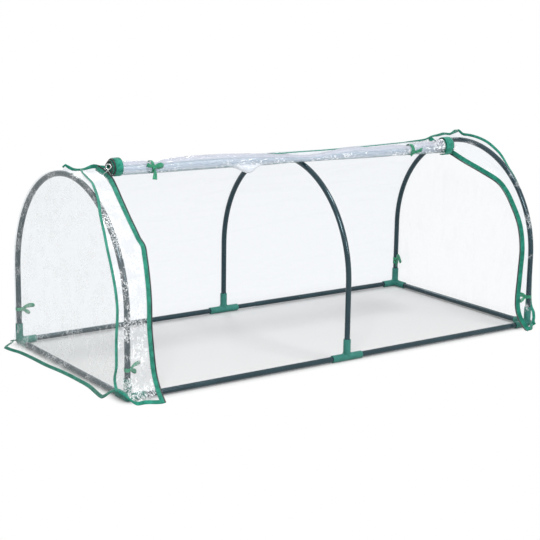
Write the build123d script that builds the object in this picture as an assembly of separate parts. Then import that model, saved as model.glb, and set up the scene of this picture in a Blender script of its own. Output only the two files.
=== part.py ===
from build123d import *
from math import cos, degrees, pi, radians, sin
import os

# A low polytunnel: three steel hoops on a tube base, joined by plastic push-fit connectors,
# under a clear film cover whose front panel is unzipped, rolled up and tied along the top.
# X runs along the tunnel, -Y is the open front, Z is up and Z = 0 is the ground.

# Frame, measured between tube axes
frame_length = 1700.0
frame_depth = 770.0
leg_height = 255.0
tube_diameter = 19.0
tube_wall = 0.9

# Push-fit connectors
socket_wall = 3.0
socket_clearance = 0.15
socket_length = 62.0
socket_fillet = 6.0
socket_rib_width = 9.0
tube_stop = 16.0
mouth_chamfer = 0.8

# The rear right rail is two lengths, joined by a spigot a short way from the middle connector
spigot_show = 88.0
spigot_grip = 30.0

# Film cover
film = 1.2
film_seat = 0.3
end_overhang = 28.0
skirt_height = 110.0
skirt_flare = 42.0
ridge_angle = 88.0

# Bindings, seams and zips
binding = 3.0
hem_height = 14.0
fin_height = 12.0
ridge_fin_height = 14.0
zip_inset = 70.0
zip_binding_width = 16.0
zip_coil_width = 5.0
zip_coil_thickness = 2.2
ground_clearance = 1.0

# Above its shoulder each zip leans in across the arch, to pass the end of the roll at its elbow
left_zip_lean = 28.0
left_zip_shoulder = 57.0
left_zip_elbow = 71.0
right_zip_lean = 106.0
right_zip_shoulder = 38.0
right_zip_elbow = 62.0

# Front panel, rolled up from its hem and tied; the roll slopes forward to the right
roll_left_angle = 77.0
roll_right_angle = 70.0
roll_radius = 23.0
roll_core = 8.0
roll_turns = 3.25
roll_edge_width = 20.0
roll_left_edge_radius = 31.0
roll_right_edge_radius = 34.0
roll_edge_clearance = 6.0
roll_lap = 3.0
spiral_steps_per_turn = 16

# Ribbon ties
ribbon_width = 15.0
ribbon_thickness = 1.2
ribbon_seat = 0.3
tie_height = 128.0
tie_tail = 34.0
tail_share = 0.7
knot_size = 11.0
roll_knot_angle = -15.0
left_roll_tie_inset = 150.0
right_roll_tie_inset = 210.0

# Zip sliders
slider_length = 14.0
slider_width = 9.0
slider_thickness = 5.0
slider_angle = 79.0
pull_ring_radius = 7.0
pull_ring_wire = 1.6

# Worked-out sizes
tube_radius = tube_diameter / 2
socket_bore = tube_radius + socket_clearance
socket_radius = socket_bore + socket_wall
rail_height = socket_radius
arch_radius = frame_depth / 2
arch_centre = rail_height + leg_height
half_length = frame_length / 2
film_in = tube_radius + film_seat
film_out = film_in + film
binding_proud = (binding - film) / 2
reach = frame_length + frame_depth

os.makedirs("parts", exist_ok=True)


def save(shape, name):
    shape.label = name
    export_step(shape, f"parts/{name}.step")


# Tubes
def straight_tube(start, end, radius=tube_radius):
    line = Line(start, end)
    ring = Circle(radius) - Circle(radius - tube_wall)
    return extrude(Plane(line @ 0, z_dir=line % 0) * ring, amount=line.length)


def hoop(x):
    foot = rail_height + tube_stop
    front_leg = Line((x, -arch_radius, foot), (x, -arch_radius, arch_centre))
    arch = ThreePointArc(
        (x, -arch_radius, arch_centre),
        (x, 0, arch_centre + arch_radius),
        (x, arch_radius, arch_centre),
    )
    rear_leg = Line((x, arch_radius, arch_centre), (x, arch_radius, foot))
    ring = Circle(tube_radius) - Circle(tube_radius - tube_wall)
    return sweep(Plane(front_leg @ 0, z_dir=(0, 0, 1)) * ring, path=Wire([front_leg, arch, rear_leg]))


# Connectors: one socket for each direction, a rounded hub and a small web in each corner
def connector(directions):
    body = Sphere(socket_radius)
    for direction in directions:
        barrel = extrude(Plane((0, 0, 0), z_dir=direction) * Circle(socket_radius), amount=socket_length)
        mouth = barrel.faces().sort_by(Axis((0, 0, 0), direction))[-1]
        body += chamfer(mouth.edges(), mouth_chamfer)
    for first in directions:
        for second in directions:
            if directions.index(first) < directions.index(second) and Vector(first).dot(Vector(second)) == 0:
                body += corner_web(first, second)
    for direction in directions:
        bore = Plane((0, 0, 0), z_dir=direction).offset(tube_stop) * Circle(socket_bore)
        body -= extrude(bore, amount=socket_length)
    return body


def corner_web(first, second):
    corner = socket_radius + socket_fillet
    web = make_face(
        [
            Line((0, 0), (corner, 0)),
            Line((corner, 0), (corner, socket_radius)),
            TangentArc((corner, socket_radius), (socket_radius, corner), tangent=(-1, 0)),
            Line((socket_radius, corner), (0, corner)),
            Line((0, corner), (0, 0)),
        ]
    )
    plane = Plane((0, 0, 0), x_dir=first, z_dir=Vector(first).cross(Vector(second)))
    return extrude(plane * web, amount=socket_rib_width / 2, both=True)


# Cover sections. A section is drawn with v outward from the middle of the tunnel and w up.
def arch_point(radius, angle):
    return (radius * cos(radians(angle)), arch_centre + radius * sin(radians(angle)))


def wall_outline(gap, top_angle):
    """One side of the cover from a point on the arch down to the ground, at a gap from the tube axis."""
    radius = arch_radius + gap
    return [
        ThreePointArc(
            arch_point(radius, top_angle),
            arch_point(radius, top_angle / 2),
            arch_point(radius, 0),
        ),
        Line((radius, arch_centre), (radius, skirt_height)),
        TangentArc((radius, skirt_height), (radius + skirt_flare, 0), tangent=(0, -1)),
    ]


def wall_section(gap_in, gap_out, top_angle):
    inner = wall_outline(gap_in, top_angle)
    outer = wall_outline(gap_out, top_angle)
    top = Line(inner[0] @ 0, outer[0] @ 0)
    foot = Line(inner[-1] @ 1, outer[-1] @ 1)
    return make_face([*inner, *outer, top, foot])


def along_x(face, side, x_from, x_to):
    """A section extruded along the tunnel; side is -1 for the front and +1 for the rear."""
    plane = Plane((x_from, 0, 0), x_dir=(0, side, 0), z_dir=(side, 0, 0))
    return extrude(plane * face, amount=side * (x_to - x_from))


def tunnel_core(gap):
    """Everything inside the long walls and the roof, at a gap from the tube axes."""
    front = wall_outline(gap, 90)
    axis = Line(front[0] @ 0, (0, 0))
    floor = Line((0, 0), front[-1] @ 1)
    half = make_face([*front, axis, floor])
    return along_x(half, -1, -reach, reach) + along_x(half, 1, -reach, reach)


def end_core(gap):
    """Everything between the two end panels; they hang from the overhang and flare at the ground."""
    edge = half_length + end_overhang + gap
    top = arch_centre + reach
    halves = []
    for side in (-1, 1):
        half = make_face(
            [
                Line((0, 0), (0, top)),
                Line((0, top), (edge, top)),
                Line((edge, top), (edge, skirt_height)),
                TangentArc((edge, skirt_height), (edge + skirt_flare, 0), tangent=(0, -1)),
                Line((edge + skirt_flare, 0), (0, 0)),
            ]
        )
        plane = Plane((0, side * reach, 0), x_dir=(side, 0, 0), z_dir=(0, -side, 0))
        halves.append(extrude(plane * half, amount=2 * reach))
    return halves[0] + halves[1]


def above(z):
    return Pos(0, 0, z + reach / 2) * Box(4 * reach, 4 * reach, reach)


def beside(x_from, x_to):
    return Pos((x_from + x_to) / 2, 0, reach / 2) * Box(x_to - x_from, 4 * reach, reach)


# Each zip, seen from above, runs up the wall, in across the arch, then past the end of the roll
zip_half = zip_binding_width / 2
zips = {
    "left": (-1, left_zip_lean, left_zip_shoulder, left_zip_elbow),
    "right": (1, right_zip_lean, right_zip_shoulder, right_zip_elbow),
}


def zip_top(end, shift):
    """Where a zip passes the roll, moved by shift towards its hoop."""
    side, lean, _, _ = zips[end]
    return side * (half_length - zip_inset - lean + shift)


def past_zip(end, shift):
    """Everything on the hoop side of a zip's middle line, moved by shift towards the hoop."""
    side, lean, shoulder, elbow = zips[end]
    wall_x = side * (half_length - zip_inset + shift)
    top_x = zip_top(end, shift)
    depth = arch_radius + film_out
    outline = Polyline(
        (wall_x, -reach),
        (wall_x, -depth * cos(radians(shoulder))),
        (top_x, -depth * cos(radians(elbow))),
        (top_x, reach),
        (side * reach, reach),
        (side * reach, -reach),
        close=True,
    )
    return extrude(make_face(outline), amount=reach, both=True)


def zip_band(end, inner, outer):
    return past_zip(end, inner) - past_zip(end, outer)


# Frame
rail_start = tube_stop
rail_end = half_length - tube_stop
spigot_joint = socket_length + spigot_show
for row, y in (("front", -arch_radius), ("rear", arch_radius)):
    for end, side in (("left", -1), ("right", 1)):
        spigoted = (row, end) == ("rear", "right")
        start = spigot_joint if spigoted else side * rail_start
        rail = straight_tube((start, y, rail_height), (side * rail_end, y, rail_height))
        if spigoted:
            spigot_end = spigot_joint + spigot_grip
            rail += straight_tube(
                (rail_start, y, rail_height), (spigot_end, y, rail_height), tube_radius - tube_wall
            )
        save(rail, f"{row}_{end}_rail")
for end, x in (("left", -half_length), ("right", half_length)):
    inner = arch_radius - tube_stop
    save(straight_tube((x, -inner, rail_height), (x, inner, rail_height)), f"{end}_end_rail")
for name, x in (("left_hoop", -half_length), ("middle_hoop", 0), ("right_hoop", half_length)):
    save(hoop(x), name)

up = (0, 0, 1)
for row, y, inward in (("front", -arch_radius, (0, 1, 0)), ("rear", arch_radius, (0, -1, 0))):
    for end, side in (("left", -1), ("right", 1)):
        corner = connector([up, (-side, 0, 0), inward])
        save(Pos(side * half_length, y, rail_height) * corner, f"{row}_{end}_corner")
    tee = connector([up, (1, 0, 0), (-1, 0, 0)])
    save(Pos(0, y, rail_height) * tee, f"{row}_tee")

# Film panels
ends = end_core(film)
ends_inside = end_core(0)
ridge_turn = degrees(binding / (arch_radius + film_out))
front_top_angle = ridge_angle - ridge_turn


def roof_patch(gap_in, gap_out, from_angle, to_angle):
    """A stretch of the arch between two angles, counted from the front."""
    middle = (from_angle + to_angle) / 2
    edges = []
    for gap in (gap_in, gap_out):
        radius = arch_radius + gap
        edges.append(
            ThreePointArc(
                arch_point(radius, from_angle),
                arch_point(radius, middle),
                arch_point(radius, to_angle),
            )
        )
    sides = [Line(edges[0] @ 0, edges[1] @ 0), Line(edges[0] @ 1, edges[1] @ 1)]
    return make_face(edges + sides)


rear_sheet = along_x(wall_section(film_in, film_out, 90), 1, -reach, reach)
rear_sheet += along_x(roof_patch(film_in, film_out, ridge_angle, 90), -1, -reach, reach)
rear_sheet = rear_sheet & ends & above(hem_height)
save(rear_sheet, "rear_sheet")

front_sheet = along_x(wall_section(film_in, film_out, front_top_angle), -1, -reach, reach)
front_sheet = front_sheet & ends & above(hem_height)
for end in zips:
    save(front_sheet & past_zip(end, zip_half), f"{end}_front_strip")

end_slab = (ends - ends_inside) & tunnel_core(film_in)
end_film = end_slab & above(hem_height)
save(end_film & beside(-reach, 0), "left_end_panel")
save(end_film & beside(0, reach), "right_end_panel")

# Hem bindings, folded over the bottom edge of each panel
hem_in = film_in - binding_proud
hem_out = film_out + binding_proud
hem_ends = end_core(film + binding_proud)
hem_zone = beside(-reach, reach) - above(hem_height)
rear_hem = along_x(wall_section(hem_in, hem_out, 0.5), 1, -reach, reach) & hem_ends & hem_zone
save(rear_hem, "rear_hem")
front_hem = along_x(wall_section(hem_in, hem_out, 0.5), -1, -reach, reach) & hem_ends & hem_zone
for end in zips:
    save(front_hem & past_zip(end, zip_half), f"{end}_strip_hem")
end_hem = (hem_ends - end_core(-binding_proud)) & tunnel_core(hem_in) & hem_zone
save(end_hem & beside(-reach, 0), "left_end_hem")
save(end_hem & beside(0, reach), "right_end_hem")

# Seams that stand proud: the ridge seam and one down the front of each end
ridge_seam = along_x(
    roof_patch(film_in, film_out + ridge_fin_height, front_top_angle, ridge_angle), -1, -reach, reach
)
save(ridge_seam & ends, "ridge_seam")
fin = along_x(wall_section(film_out, film_out + fin_height, front_top_angle), -1, -reach, reach)
fin = fin & (ends - end_core(film - binding)) & above(hem_height)
save(fin & beside(-reach, 0), "left_end_seam")
save(fin & beside(0, reach), "right_end_seam")

# Zip halves that stay on the front strips: a bound tape with the coil along the opening
tape = along_x(wall_section(hem_in, hem_out, front_top_angle), -1, -reach, reach)
coil_middle = (film_in + film_out) / 2
coil_half = zip_coil_thickness / 2
coil_section = wall_section(coil_middle - coil_half, coil_middle + coil_half, front_top_angle)
coil = along_x(coil_section, -1, -reach, reach)
for end in zips:
    zip_side = tape & zip_band(end, -zip_half, zip_half)
    zip_side += coil & zip_band(end, -zip_half - zip_coil_width, -zip_half)
    save(zip_side & above(ground_clearance), f"{end}_zip")

# Front panel: from the ridge seam down the arch, then wound outward and up into a roll. The roll
# is straight and slopes across the arch, so its ends are lifted a little for its middle to clear.
roll_left_end = zip_top("left", -zip_half - zip_coil_width - roll_edge_clearance)
roll_right_end = zip_top("right", -zip_half - zip_coil_width - roll_edge_clearance)
roll_middle_angle = (roll_left_angle + roll_right_angle) / 2
roll_lift = 1 / cos(radians((roll_left_angle - roll_right_angle) / 2))


def roll_line(x, distance):
    """The line that the roll follows, at x and at a distance from the arch's axis: (outward, up)."""
    share = (x - roll_left_end) / (roll_right_end - roll_left_end)
    left = arch_point(distance, roll_left_angle)
    right = arch_point(distance, roll_right_angle)
    return (left[0] + share * (right[0] - left[0]), left[1] + share * (right[1] - left[1]))


def spiral(centre, radius_out, thickness):
    """A wound strip that starts where the roll lies on the arch and winds inward."""
    count = int(roll_turns * spiral_steps_per_turn)
    edges = []
    ends_of = []
    for inset in (0, thickness):
        points = []
        for step in range(count + 1):
            turn = step / spiral_steps_per_turn
            radius = radius_out - inset - turn * (radius_out - roll_core) / roll_turns
            angle = radians(roll_middle_angle + 180) + turn * 2 * pi
            points.append((centre[0] + radius * cos(angle), centre[1] + radius * sin(angle)))
        edges.append(Spline(points))
        ends_of.append((points[0], points[-1]))
    start = Line(ends_of[0][0], ends_of[1][0])
    end = Line(ends_of[0][1], ends_of[1][1])
    return make_face([edges[0], edges[1], start, end])


def wound(x_from, x_to, gap, radius_out, thickness):
    """A stretch of the roll, its underside at a gap from the tube axes."""
    distance = (arch_radius + gap + radius_out) * roll_lift
    start = roll_line(x_from, distance)
    end = roll_line(x_to, distance)
    plane = Plane((x_from, 0, 0), x_dir=(0, -1, 0), z_dir=(-1, 0, 0))
    path = Vector(x_to - x_from, start[0] - end[0], end[1] - start[1])
    return extrude(plane * spiral(start, radius_out, thickness), amount=path.length, dir=path)


panel_edge = [-roll_line(x, arch_radius + film_in)[0] - roll_lap for x in (-reach, reach)]
behind_roll = Polyline(
    (-reach, panel_edge[0]), (reach, panel_edge[1]), (reach, reach), (-reach, reach), close=True
)
panel_top = along_x(roof_patch(film_in, film_out, 0, front_top_angle), -1, -reach, reach)
panel_top = panel_top & extrude(make_face(behind_roll), amount=reach, both=True)
for end in zips:
    panel_top -= past_zip(end, -zip_half - zip_coil_width)
film_left = roll_left_end + roll_edge_width
film_right = roll_right_end - roll_edge_width
save(wound(film_left, film_right, film_in, roll_radius, film) + panel_top, "rolled_door")
edge_gap = film_out + film_seat
left_edge = wound(roll_left_end, film_left, edge_gap, roll_left_edge_radius, binding)
save(left_edge, "door_left_edge")
right_edge = wound(film_right, roll_right_end, edge_gap, roll_right_edge_radius, binding)
save(right_edge, "door_right_edge")


# Ribbon ties: a band round what it holds, a knot, and two tails. Each band stays open where the
# film lies against what it holds, because the ribbon is sewn to the film there.
def ribbon_tie(radius, tail_turns):
    """A tie round a bar along Z at the origin, with the knot on the +X side."""
    inner = radius + ribbon_seat
    outer = inner + ribbon_thickness
    band = extrude(Circle(outer) - Circle(inner), amount=ribbon_width / 2, both=True)
    knot_x = inner + knot_size / 2
    knot = Pos(knot_x, 0, 0) * Box(knot_size, knot_size, ribbon_width)
    tie = band + fillet(knot.edges(), knot_size / 5)
    tail = Pos(tie_tail / 2, 0, 0) * Box(tie_tail, ribbon_thickness, ribbon_width * tail_share)
    for turn in tail_turns:
        tie += Pos(knot_x, 0, 0) * Rot(0, turn, 0) * tail
    return tie


leg_tie = ribbon_tie(tube_radius, (30, 80))
leg_gap = Pos(0, reach / 2 + tube_radius, 0) * Box(reach, reach, reach)
for row, turn in (("front", 180), ("rear", 0)):
    for end, side in (("left", -1), ("right", 1)):
        opening = Rot(0, 0, turn) * leg_gap
        facing = Rot(0, 0, 90 + 90 * side) * leg_tie
        tie = Pos(side * half_length, arch_radius * cos(radians(turn)), tie_height) * (facing - opening)
        save(tie, f"{row}_{end}_tie")

roll_gap = Pos(roll_radius, 0, 0) * Box(roll_radius / 2, roll_radius, ribbon_width)
roll_gap = Rot(0, 0, roll_knot_angle - roll_middle_angle - 180) * roll_gap
roll_tie = ribbon_tie(roll_radius, (-25, 25)) - roll_gap
knot_side = (0, -cos(radians(roll_knot_angle)), sin(radians(roll_knot_angle)))
left_tie_x = roll_left_end + left_roll_tie_inset
right_tie_x = roll_right_end - right_roll_tie_inset
for name, x in (("left_roll_tie", left_tie_x), ("right_roll_tie", right_tie_x)):
    centre = roll_line(x, (arch_radius + film_in + roll_radius) * roll_lift)
    seat = Plane((x, -centre[0], centre[1]), x_dir=knot_side, z_dir=(1, 0, 0))
    save(seat * roll_tie, name)


# Zip sliders, run up to the top of their zips, each with a wire pull ring
def slider():
    body = Box(slider_width, slider_thickness, slider_length)
    body = fillet(body.edges().filter_by(Axis.Y), slider_width / 4)
    ring_z = -slider_length / 2 - pull_ring_radius + pull_ring_wire
    ring = Pos(0, 0, ring_z) * Rot(90, 0, 0) * Torus(pull_ring_radius, pull_ring_wire / 2)
    return body + ring


slider_radius = arch_radius + hem_out + film_seat + slider_thickness / 2
slider_place = arch_point(slider_radius, slider_angle)
up_the_arch = (0, sin(radians(slider_angle)), cos(radians(slider_angle)))
for end in zips:
    coil_line = zip_top(end, -zip_half - zip_coil_width / 2)
    seat = Plane((coil_line, -slider_place[0], slider_place[1]), x_dir=(1, 0, 0), z_dir=up_the_arch)
    save(seat * slider(), f"{end}_zip_slider")
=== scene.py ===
from functools import reduce
from math import asin, cos, pi, radians, sin

import bmesh
import bpy
from mathutils import Matrix, Vector, noise


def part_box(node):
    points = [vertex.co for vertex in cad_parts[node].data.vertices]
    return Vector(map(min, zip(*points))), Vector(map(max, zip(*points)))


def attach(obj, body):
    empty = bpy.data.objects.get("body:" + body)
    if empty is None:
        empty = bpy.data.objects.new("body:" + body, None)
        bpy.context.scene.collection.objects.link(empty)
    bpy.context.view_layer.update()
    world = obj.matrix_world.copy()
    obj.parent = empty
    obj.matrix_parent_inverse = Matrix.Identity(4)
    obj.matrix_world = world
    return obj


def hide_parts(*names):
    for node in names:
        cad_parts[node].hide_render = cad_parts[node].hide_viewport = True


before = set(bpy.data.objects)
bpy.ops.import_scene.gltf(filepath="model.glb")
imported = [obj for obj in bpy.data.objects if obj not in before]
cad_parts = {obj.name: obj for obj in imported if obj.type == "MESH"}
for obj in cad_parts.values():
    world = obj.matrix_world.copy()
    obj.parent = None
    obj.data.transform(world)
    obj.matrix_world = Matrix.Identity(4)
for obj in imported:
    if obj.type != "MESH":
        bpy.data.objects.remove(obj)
scene = bpy.context.scene
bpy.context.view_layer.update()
print("frame loaded:", len(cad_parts), "CAD nodes")

# Sizes read off the frame, in metres: X along the tunnel, -Y the open front, Z up
hoopLow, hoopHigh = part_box("left_hoop")
tubeRadius = (hoopHigh.x - hoopLow.x) / 2
hoopX = -(hoopHigh.x + hoopLow.x) / 2
archRadius = hoopHigh.y - tubeRadius
archCentre = hoopHigh.z - tubeRadius - archRadius
coverMiddle = Vector((0, 0, 0.3))
eastward, northward, upright = Vector((1, 0, 0)), Vector((0, 1, 0)), Vector((0, 0, 1))
ends = {"left": -1, "right": 1}

# The cover's long section: an arch, a straight wall and a skirt that flares out on the ground
cover = {
    "gap": 0.0104,  # film to tube axis
    "frontSkirt": (0.110, 0.042),  # height, flare
    "rearSkirt": (0.050, 0.038),
    "endSkirt": 0.060,
    "endStand": 0.0012,  # the end film's distance from the end hoop
    "sag": 0.0035,
    "heldBy": 0.16,  # how far a hoop or the middle holds the film, along X
    "crease": 0.0018,
    "pinch": 0.045,  # how far the ridge seam draws the film up, along its girth
    "skirtWave": 0.005,
    "lowest": 0.0006,
}
skinRadius = archRadius + cover["gap"]
archLength = skinRadius * pi / 2
endPlane = hoopX + tubeRadius + cover["endStand"]


def skirtShape(height, flare):
    radius = (height ** 2 + flare ** 2) / (2 * flare)
    wall = archCentre - height
    end = archLength + wall + radius * asin(height / radius)
    return {"height": height, "radius": radius, "wall": wall, "end": end}


front, rear = skirtShape(*cover["frontSkirt"]), skirtShape(*cover["rearSkirt"])


def mix(a, b, t):
    return a + (b - a) * t


def ease(t):
    t = min(max(t, 0.0), 1.0)
    return t * t * (3 - 2 * t)


# A smooth curve through a short list of (place, value) stops
def follow(stops, at):
    if at <= stops[0][0]:
        return stops[0][1]
    if at >= stops[-1][0]:
        return stops[-1][1]
    last = len(stops) - 1
    i = max(k for k in range(last) if stops[k][0] <= at)

    def slope(k):
        a, b = stops[max(k - 1, 0)], stops[min(k + 1, last)]
        return (b[1] - a[1]) / (b[0] - a[0])

    (p0, v0), (p1, v1) = stops[i], stops[i + 1]
    span = p1 - p0
    t = (at - p0) / span
    h = t * t * (3 - 2 * t)
    rise = slope(i) * t * (1 - t) ** 2 - slope(i + 1) * t * t * (1 - t)
    return mix(v0, v1, h) + rise * span


def archGirth(angle):  # from the top down to an angle on the arch, counted from the front
    return (90 - angle) * radians(1) * skinRadius


def wallGirth(height):  # from the top down to a height on the front wall or skirt
    if height >= front["height"]:
        return archLength + archCentre - height
    return archLength + front["wall"] + front["radius"] * asin((front["height"] - height) / front["radius"])


# Outward, up and the normal's two parts, at a girth measured from the top: front above 0, rear below
def section(girth):
    skirt = front if girth >= 0 else rear
    girth = abs(girth)
    if girth <= archLength:
        angle = pi / 2 - girth / skinRadius
        return skinRadius * cos(angle), archCentre + skinRadius * sin(angle), cos(angle), sin(angle)
    down = girth - archLength
    if down <= skirt["wall"]:
        return skinRadius, archCentre - down, 1.0, 0.0
    turn = (down - skirt["wall"]) / skirt["radius"]
    outward = skinRadius + skirt["radius"] * (1 - cos(turn))
    return outward, skirt["height"] - skirt["radius"] * sin(turn), cos(turn), sin(turn)


# Two directions turned by an angle, the first toward the second
def swing(a, b, angle):
    return a * cos(angle) + b * sin(angle), b * cos(angle) - a * sin(angle)


def frontward(angle):  # out from the arch, at an angle counted from the front
    return Vector((0, -cos(angle), sin(angle)))


def wrinkle(a, b, c):
    return noise.noise(Vector((a, b, c)))


# The ridge seam's place round the section and how far the film is pinched up to it, along X
ridgeGirths = [(-0.88, 0.0145), (0.58, 0.0145), (0.70, 0.004), (0.80, -0.028), (0.862, -0.052)]
ridgeRises = [
    (-0.875, 0.009), (-0.866, 0.019), (-0.852, 0.011), (-0.835, 0.002), (-0.80, 0.000), (-0.762, 0.005),
    (-0.742, 0.001), (-0.68, 0.002), (0.56, 0.002), (0.637, 0.003), (0.677, 0.012), (0.72, 0.012),
    (0.765, 0.014), (0.80, 0.010), (0.835, 0.014), (0.866, 0.018),
]


def ridgeGirth(x):
    return follow(ridgeGirths, x)


# How far the film stands off its even form: sag between hoops, soft creases, a wavy skirt
def slack(x, girth):
    side = 1 if girth >= 0 else -1
    skirt = front if girth >= 0 else rear
    free = ease(min(abs(abs(x) - hoopX), abs(x)) / cover["heldBy"])
    onArch = ease(abs(girth) / 0.08) * ease((archLength - abs(girth)) / 0.2)
    crease = wrinkle(x * 2.2 + girth * 2.5, girth * 11 - x * 3, 4.0) * cover["crease"]
    waveStart = archLength + skirt["wall"] * 0.6
    low = ease((abs(girth) - waveStart) / (skirt["end"] - waveStart))
    wave = wrinkle(x * 7.0, side * 3.0, 1.5) * cover["skirtWave"] * low
    pinch = follow(ridgeRises, x) * (1 - ease(abs(girth - ridgeGirth(x)) / cover["pinch"])) ** 2
    return (crease * 1.5 - cover["sag"] * onArch) * free + crease * 0.4 + wave + pinch


# Places where the film's low corners are drawn up to the connectors or out on the ground:
# from, to, reach and how much shorter it reaches along X
tugs = [
    ((-0.900, -0.4389, 0.001), (-0.889, -0.395, 0.040), 0.135, 2.2),
    ((-0.915, 0.4389, 0.001), (-0.878, 0.388, 0.017), 0.080, 1.0),
    ((-0.757, -0.4389, 0.001), (-0.770, -0.4625, 0.001), 0.060, 1.0),
    ((0.896, -0.4389, 0.001), (0.872, -0.405, 0.006), 0.080, 1.0),
]


def tugged(point):
    for start, stop, reach, narrow in tugs:
        away = point - Vector(start)
        pull = (1 - ease(Vector((away.x * narrow, away.y, away.z)).length / reach)) ** 0.8
        point = point + (Vector(stop) - Vector(start)) * pull
    point.z = max(point.z, cover["lowest"])
    return point


# Down the right front the film turns round the end hoop, so that its seam lies behind the tube
curl = [(0.0, 0.0), (0.17, 0.0), (0.26, 1.0), (0.80, 1.0), (0.86, 0.0)]


def evenPoint(x, girth, lift=0.0):
    outward, up, normalOut, normalUp = section(girth)
    side = -1 if girth >= 0 else 1
    lift += slack(x, girth)
    if x > hoopX and girth > 0:
        turn = (x - hoopX) / cover["gap"]
        share = follow(curl, girth)
        reach = cover["gap"] + max(lift, 0.0)
        x = mix(x, hoopX + reach * sin(turn), share)
        lift = mix(lift, reach * cos(turn) - cover["gap"], share)
    return Vector((x, side * (outward + lift * normalOut), up + lift * normalUp))


def coverPoint(x, girth, lift=0.0):
    return tugged(evenPoint(x, girth, lift))


def coverNormal(girth):
    _, _, normalOut, normalUp = section(girth)
    return Vector((0, normalOut * (-1 if girth >= 0 else 1), normalUp))


# Where the zips and the front end seams run along the tunnel, at a girth down the front
frontEnd = front["end"]


# Stops down the front: by angle on the arch, by height on the wall, and the one at the skirt's end
def downFront(arch, wall, foot):
    onArch = [(archGirth(angle), x) for angle, x in arch]
    return onArch + [(wallGirth(height), x) for height, x in wall] + [(frontEnd, foot)]


zipStops = {
    "left": downFront([(90, -0.752), (80, -0.751), (70, -0.762), (57, -0.779), (45, -0.783), (35, -0.777),
                       (31, -0.768), (26, -0.771), (14, -0.777)],
                      [(0.24, -0.780), (0.16, -0.774), (0.10, -0.768), (0.05, -0.763)], -0.757),
    "right": downFront([(93, 0.664), (76, 0.662), (67, 0.668), (60, 0.684), (52, 0.722), (44, 0.765),
                        (37, 0.780), (28, 0.787), (16, 0.797), (4, 0.796)],
                       [(0.18, 0.788), (0.09, 0.785), (0.04, 0.791)], 0.806),
}
seamStops = {
    "left": downFront([(90, -0.800), (81, -0.822), (70, -0.829), (64, -0.839), (57, -0.851), (49, -0.869),
                       (40, -0.881), (29, -0.889), (5, -0.888)],
                      [(0.20, -0.893), (0.11, -0.893), (0.05, -0.896)], -0.900),
    "right": downFront([(98, 0.861), (74, 0.864), (63, 0.864), (51, 0.866), (30, 0.869), (0, 0.869)],
                       [(0.11, 0.869), (0.05, 0.873)], 0.888),
}
seamStands = {  # how far the end seams stand off the cover
    "left": [(0.0, 0.004), (0.1, 0.003), (0.9, 0.003)],
    "right": [(-0.055, 0.003), (0.0, 0.005), (0.10, 0.005), (0.16, 0.001), (0.9, 0.001)],
}


def zipX(end, girth):
    return follow(zipStops[end], girth)


def seamX(end, girth):
    return follow(seamStops[end], girth)


# Short names for the nodes that the finishes and the light share
class Tree:
    def __init__(self, tree):
        self.nodes, self.links = tree.nodes, tree.links

    def link(self, value, socket):
        if isinstance(value, bpy.types.NodeSocket):
            self.links.new(value, socket)
        else:
            socket.default_value = value

    # Sets or links a node's inputs by name, with _ for a space
    def fill(self, node, **values):
        for name, value in values.items():
            self.link(value, node.inputs[name.replace("_", " ")])
        return node

    # The same for its first inputs, in their order
    def feed(self, node, *values):
        for value, socket in zip(values, node.inputs):
            self.link(value, socket)
        return node.outputs[0]

    def node(self, kind, **values):
        return self.fill(self.nodes.new(f"ShaderNode{kind}"), **values)

    def noise(self, where, scale, detail=3.0, rough=0.5, distortion=0.0):
        node = self.node("TexNoise", Vector=where, Scale=scale, Detail=detail)
        return self.fill(node, Roughness=rough, Distortion=distortion).outputs["Fac"]

    def wave(self, where, scale, direction):
        node = self.node("TexWave", Vector=where, Scale=scale, Distortion=0.0)
        node.bands_direction = direction
        return node.outputs["Fac"]

    def math(self, kind, *values):
        node = self.node("Math")
        node.operation = kind
        return self.feed(node, *values)

    def times(self, *values):
        return reduce(lambda a, b: self.math("MULTIPLY", a, b), values)

    def most(self, *values):
        return reduce(lambda a, b: self.math("MAXIMUM", a, b), values)

    def apart(self, a, b):
        return self.math("ABSOLUTE", self.math("SUBTRACT", a, b))

    def ramp(self, value, low, high, out=(0.0, 1.0)):
        node = self.node("MapRange", Value=value, From_Min=low, From_Max=high, To_Min=out[0], To_Max=out[1])
        node.interpolation_type = "SMOOTHSTEP"
        return node.outputs[0]

    def blend(self, amount, first, second):
        node = self.node("Mix")
        node.data_type = "RGBA"
        return self.fill(node, Factor=amount, A=first, B=second).outputs["Result"]

    def part(self, where, axis):
        return self.node("SeparateXYZ", Vector=where).outputs[axis]

    # 1 for rays of the camera, also when a gloss or the film sends them on, and 0 for all other light
    def seen(self):
        path = self.node("LightPath")
        return self.most(*(path.outputs[f"Is {kind} Ray"] for kind in ("Camera", "Glossy", "Transmission")))


# Materials
class Shader(Tree):
    def __init__(self, name):
        self.material = bpy.data.materials.new(name)
        self.material.use_nodes = True
        super().__init__(self.material.node_tree)
        self.surface = self.nodes["Principled BSDF"]
        self.coordinates = self.node("TexCoord")

    def set(self, **values):
        self.fill(self.surface, **values)

    def place(self, scale=(1, 1, 1), source="Object", turn=(0, 0, 0)):
        where = self.coordinates.outputs[source]
        return self.node("Mapping", Vector=where, Scale=scale, Rotation=turn).outputs[0]

    def bump(self, height, distance, strength):
        node = self.node("Bump", Height=height, Distance=distance, Strength=strength)
        self.set(Normal=node.outputs[0])

    # The finished material where two shaders are mixed: an amount of 0 shows the first
    def mixed(self, amount, first, second):
        both = self.feed(self.node("MixShader"), amount, first, second)
        self.links.new(both, self.nodes["Material Output"].inputs["Surface"])
        return self.material

    def seeThrough(self, opacity, colour):
        clear = self.node("BsdfTransparent", Color=colour).outputs[0]
        return self.mixed(opacity, clear, self.surface.outputs[0])


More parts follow.
